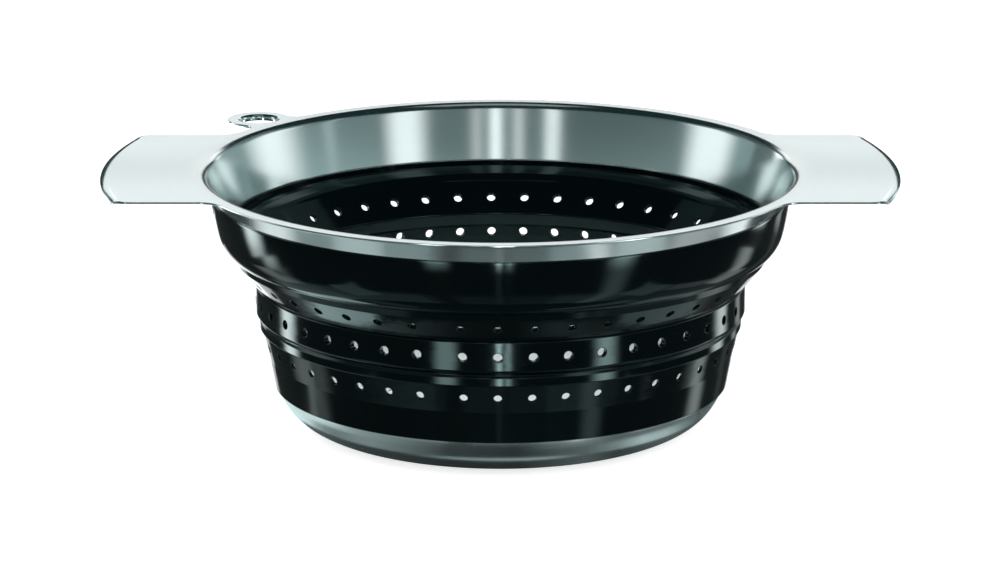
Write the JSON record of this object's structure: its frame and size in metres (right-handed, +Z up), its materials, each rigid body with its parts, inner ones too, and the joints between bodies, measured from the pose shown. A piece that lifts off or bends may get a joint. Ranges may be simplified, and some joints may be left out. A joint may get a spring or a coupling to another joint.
{
  "type": "collapsible colander",
  "caption": "Round colander with a perforated silicone body that folds flat, a steel rim with two flap handles and a hanging eye, and a steel dish base.",
  "frame": {"origin": "on the table, on the axis of the bowl", "axes": "+Z up along the bowl's axis; +X along the two handles, to the right as seen from the front; the front is -Y and the hanging eye is at the back left"},
  "size_m": [0.3266, 0.2556, 0.1055],
  "materials": {
    "stainless": "stainless sheet, polished wall and dish, satin handles",
    "silicone": "glossy black silicone rubber"
  },
  "bodies": {
    "base": {"base_dish": "stainless", "lower_band": "silicone", "lower_fold_wall": "silicone"},
    "middle": {"middle_band": "silicone"},
    "rim": {"steel_rim": "stainless", "silicone_collar": "silicone", "upper_fold_wall": "silicone"}
  },
  "joints": [
    {"name": "lower_fold", "type": "slide", "parent": "base", "child": "middle", "axis": [0, 0, -1], "range_m": [0, 0.023], "deforming": ["lower_fold_wall"]},
    {"name": "upper_fold", "type": "slide", "parent": "middle", "child": "rim", "axis": [0, 0, -1], "range_m": [0, 0.0274], "deforming": ["upper_fold_wall"]}
  ]
}
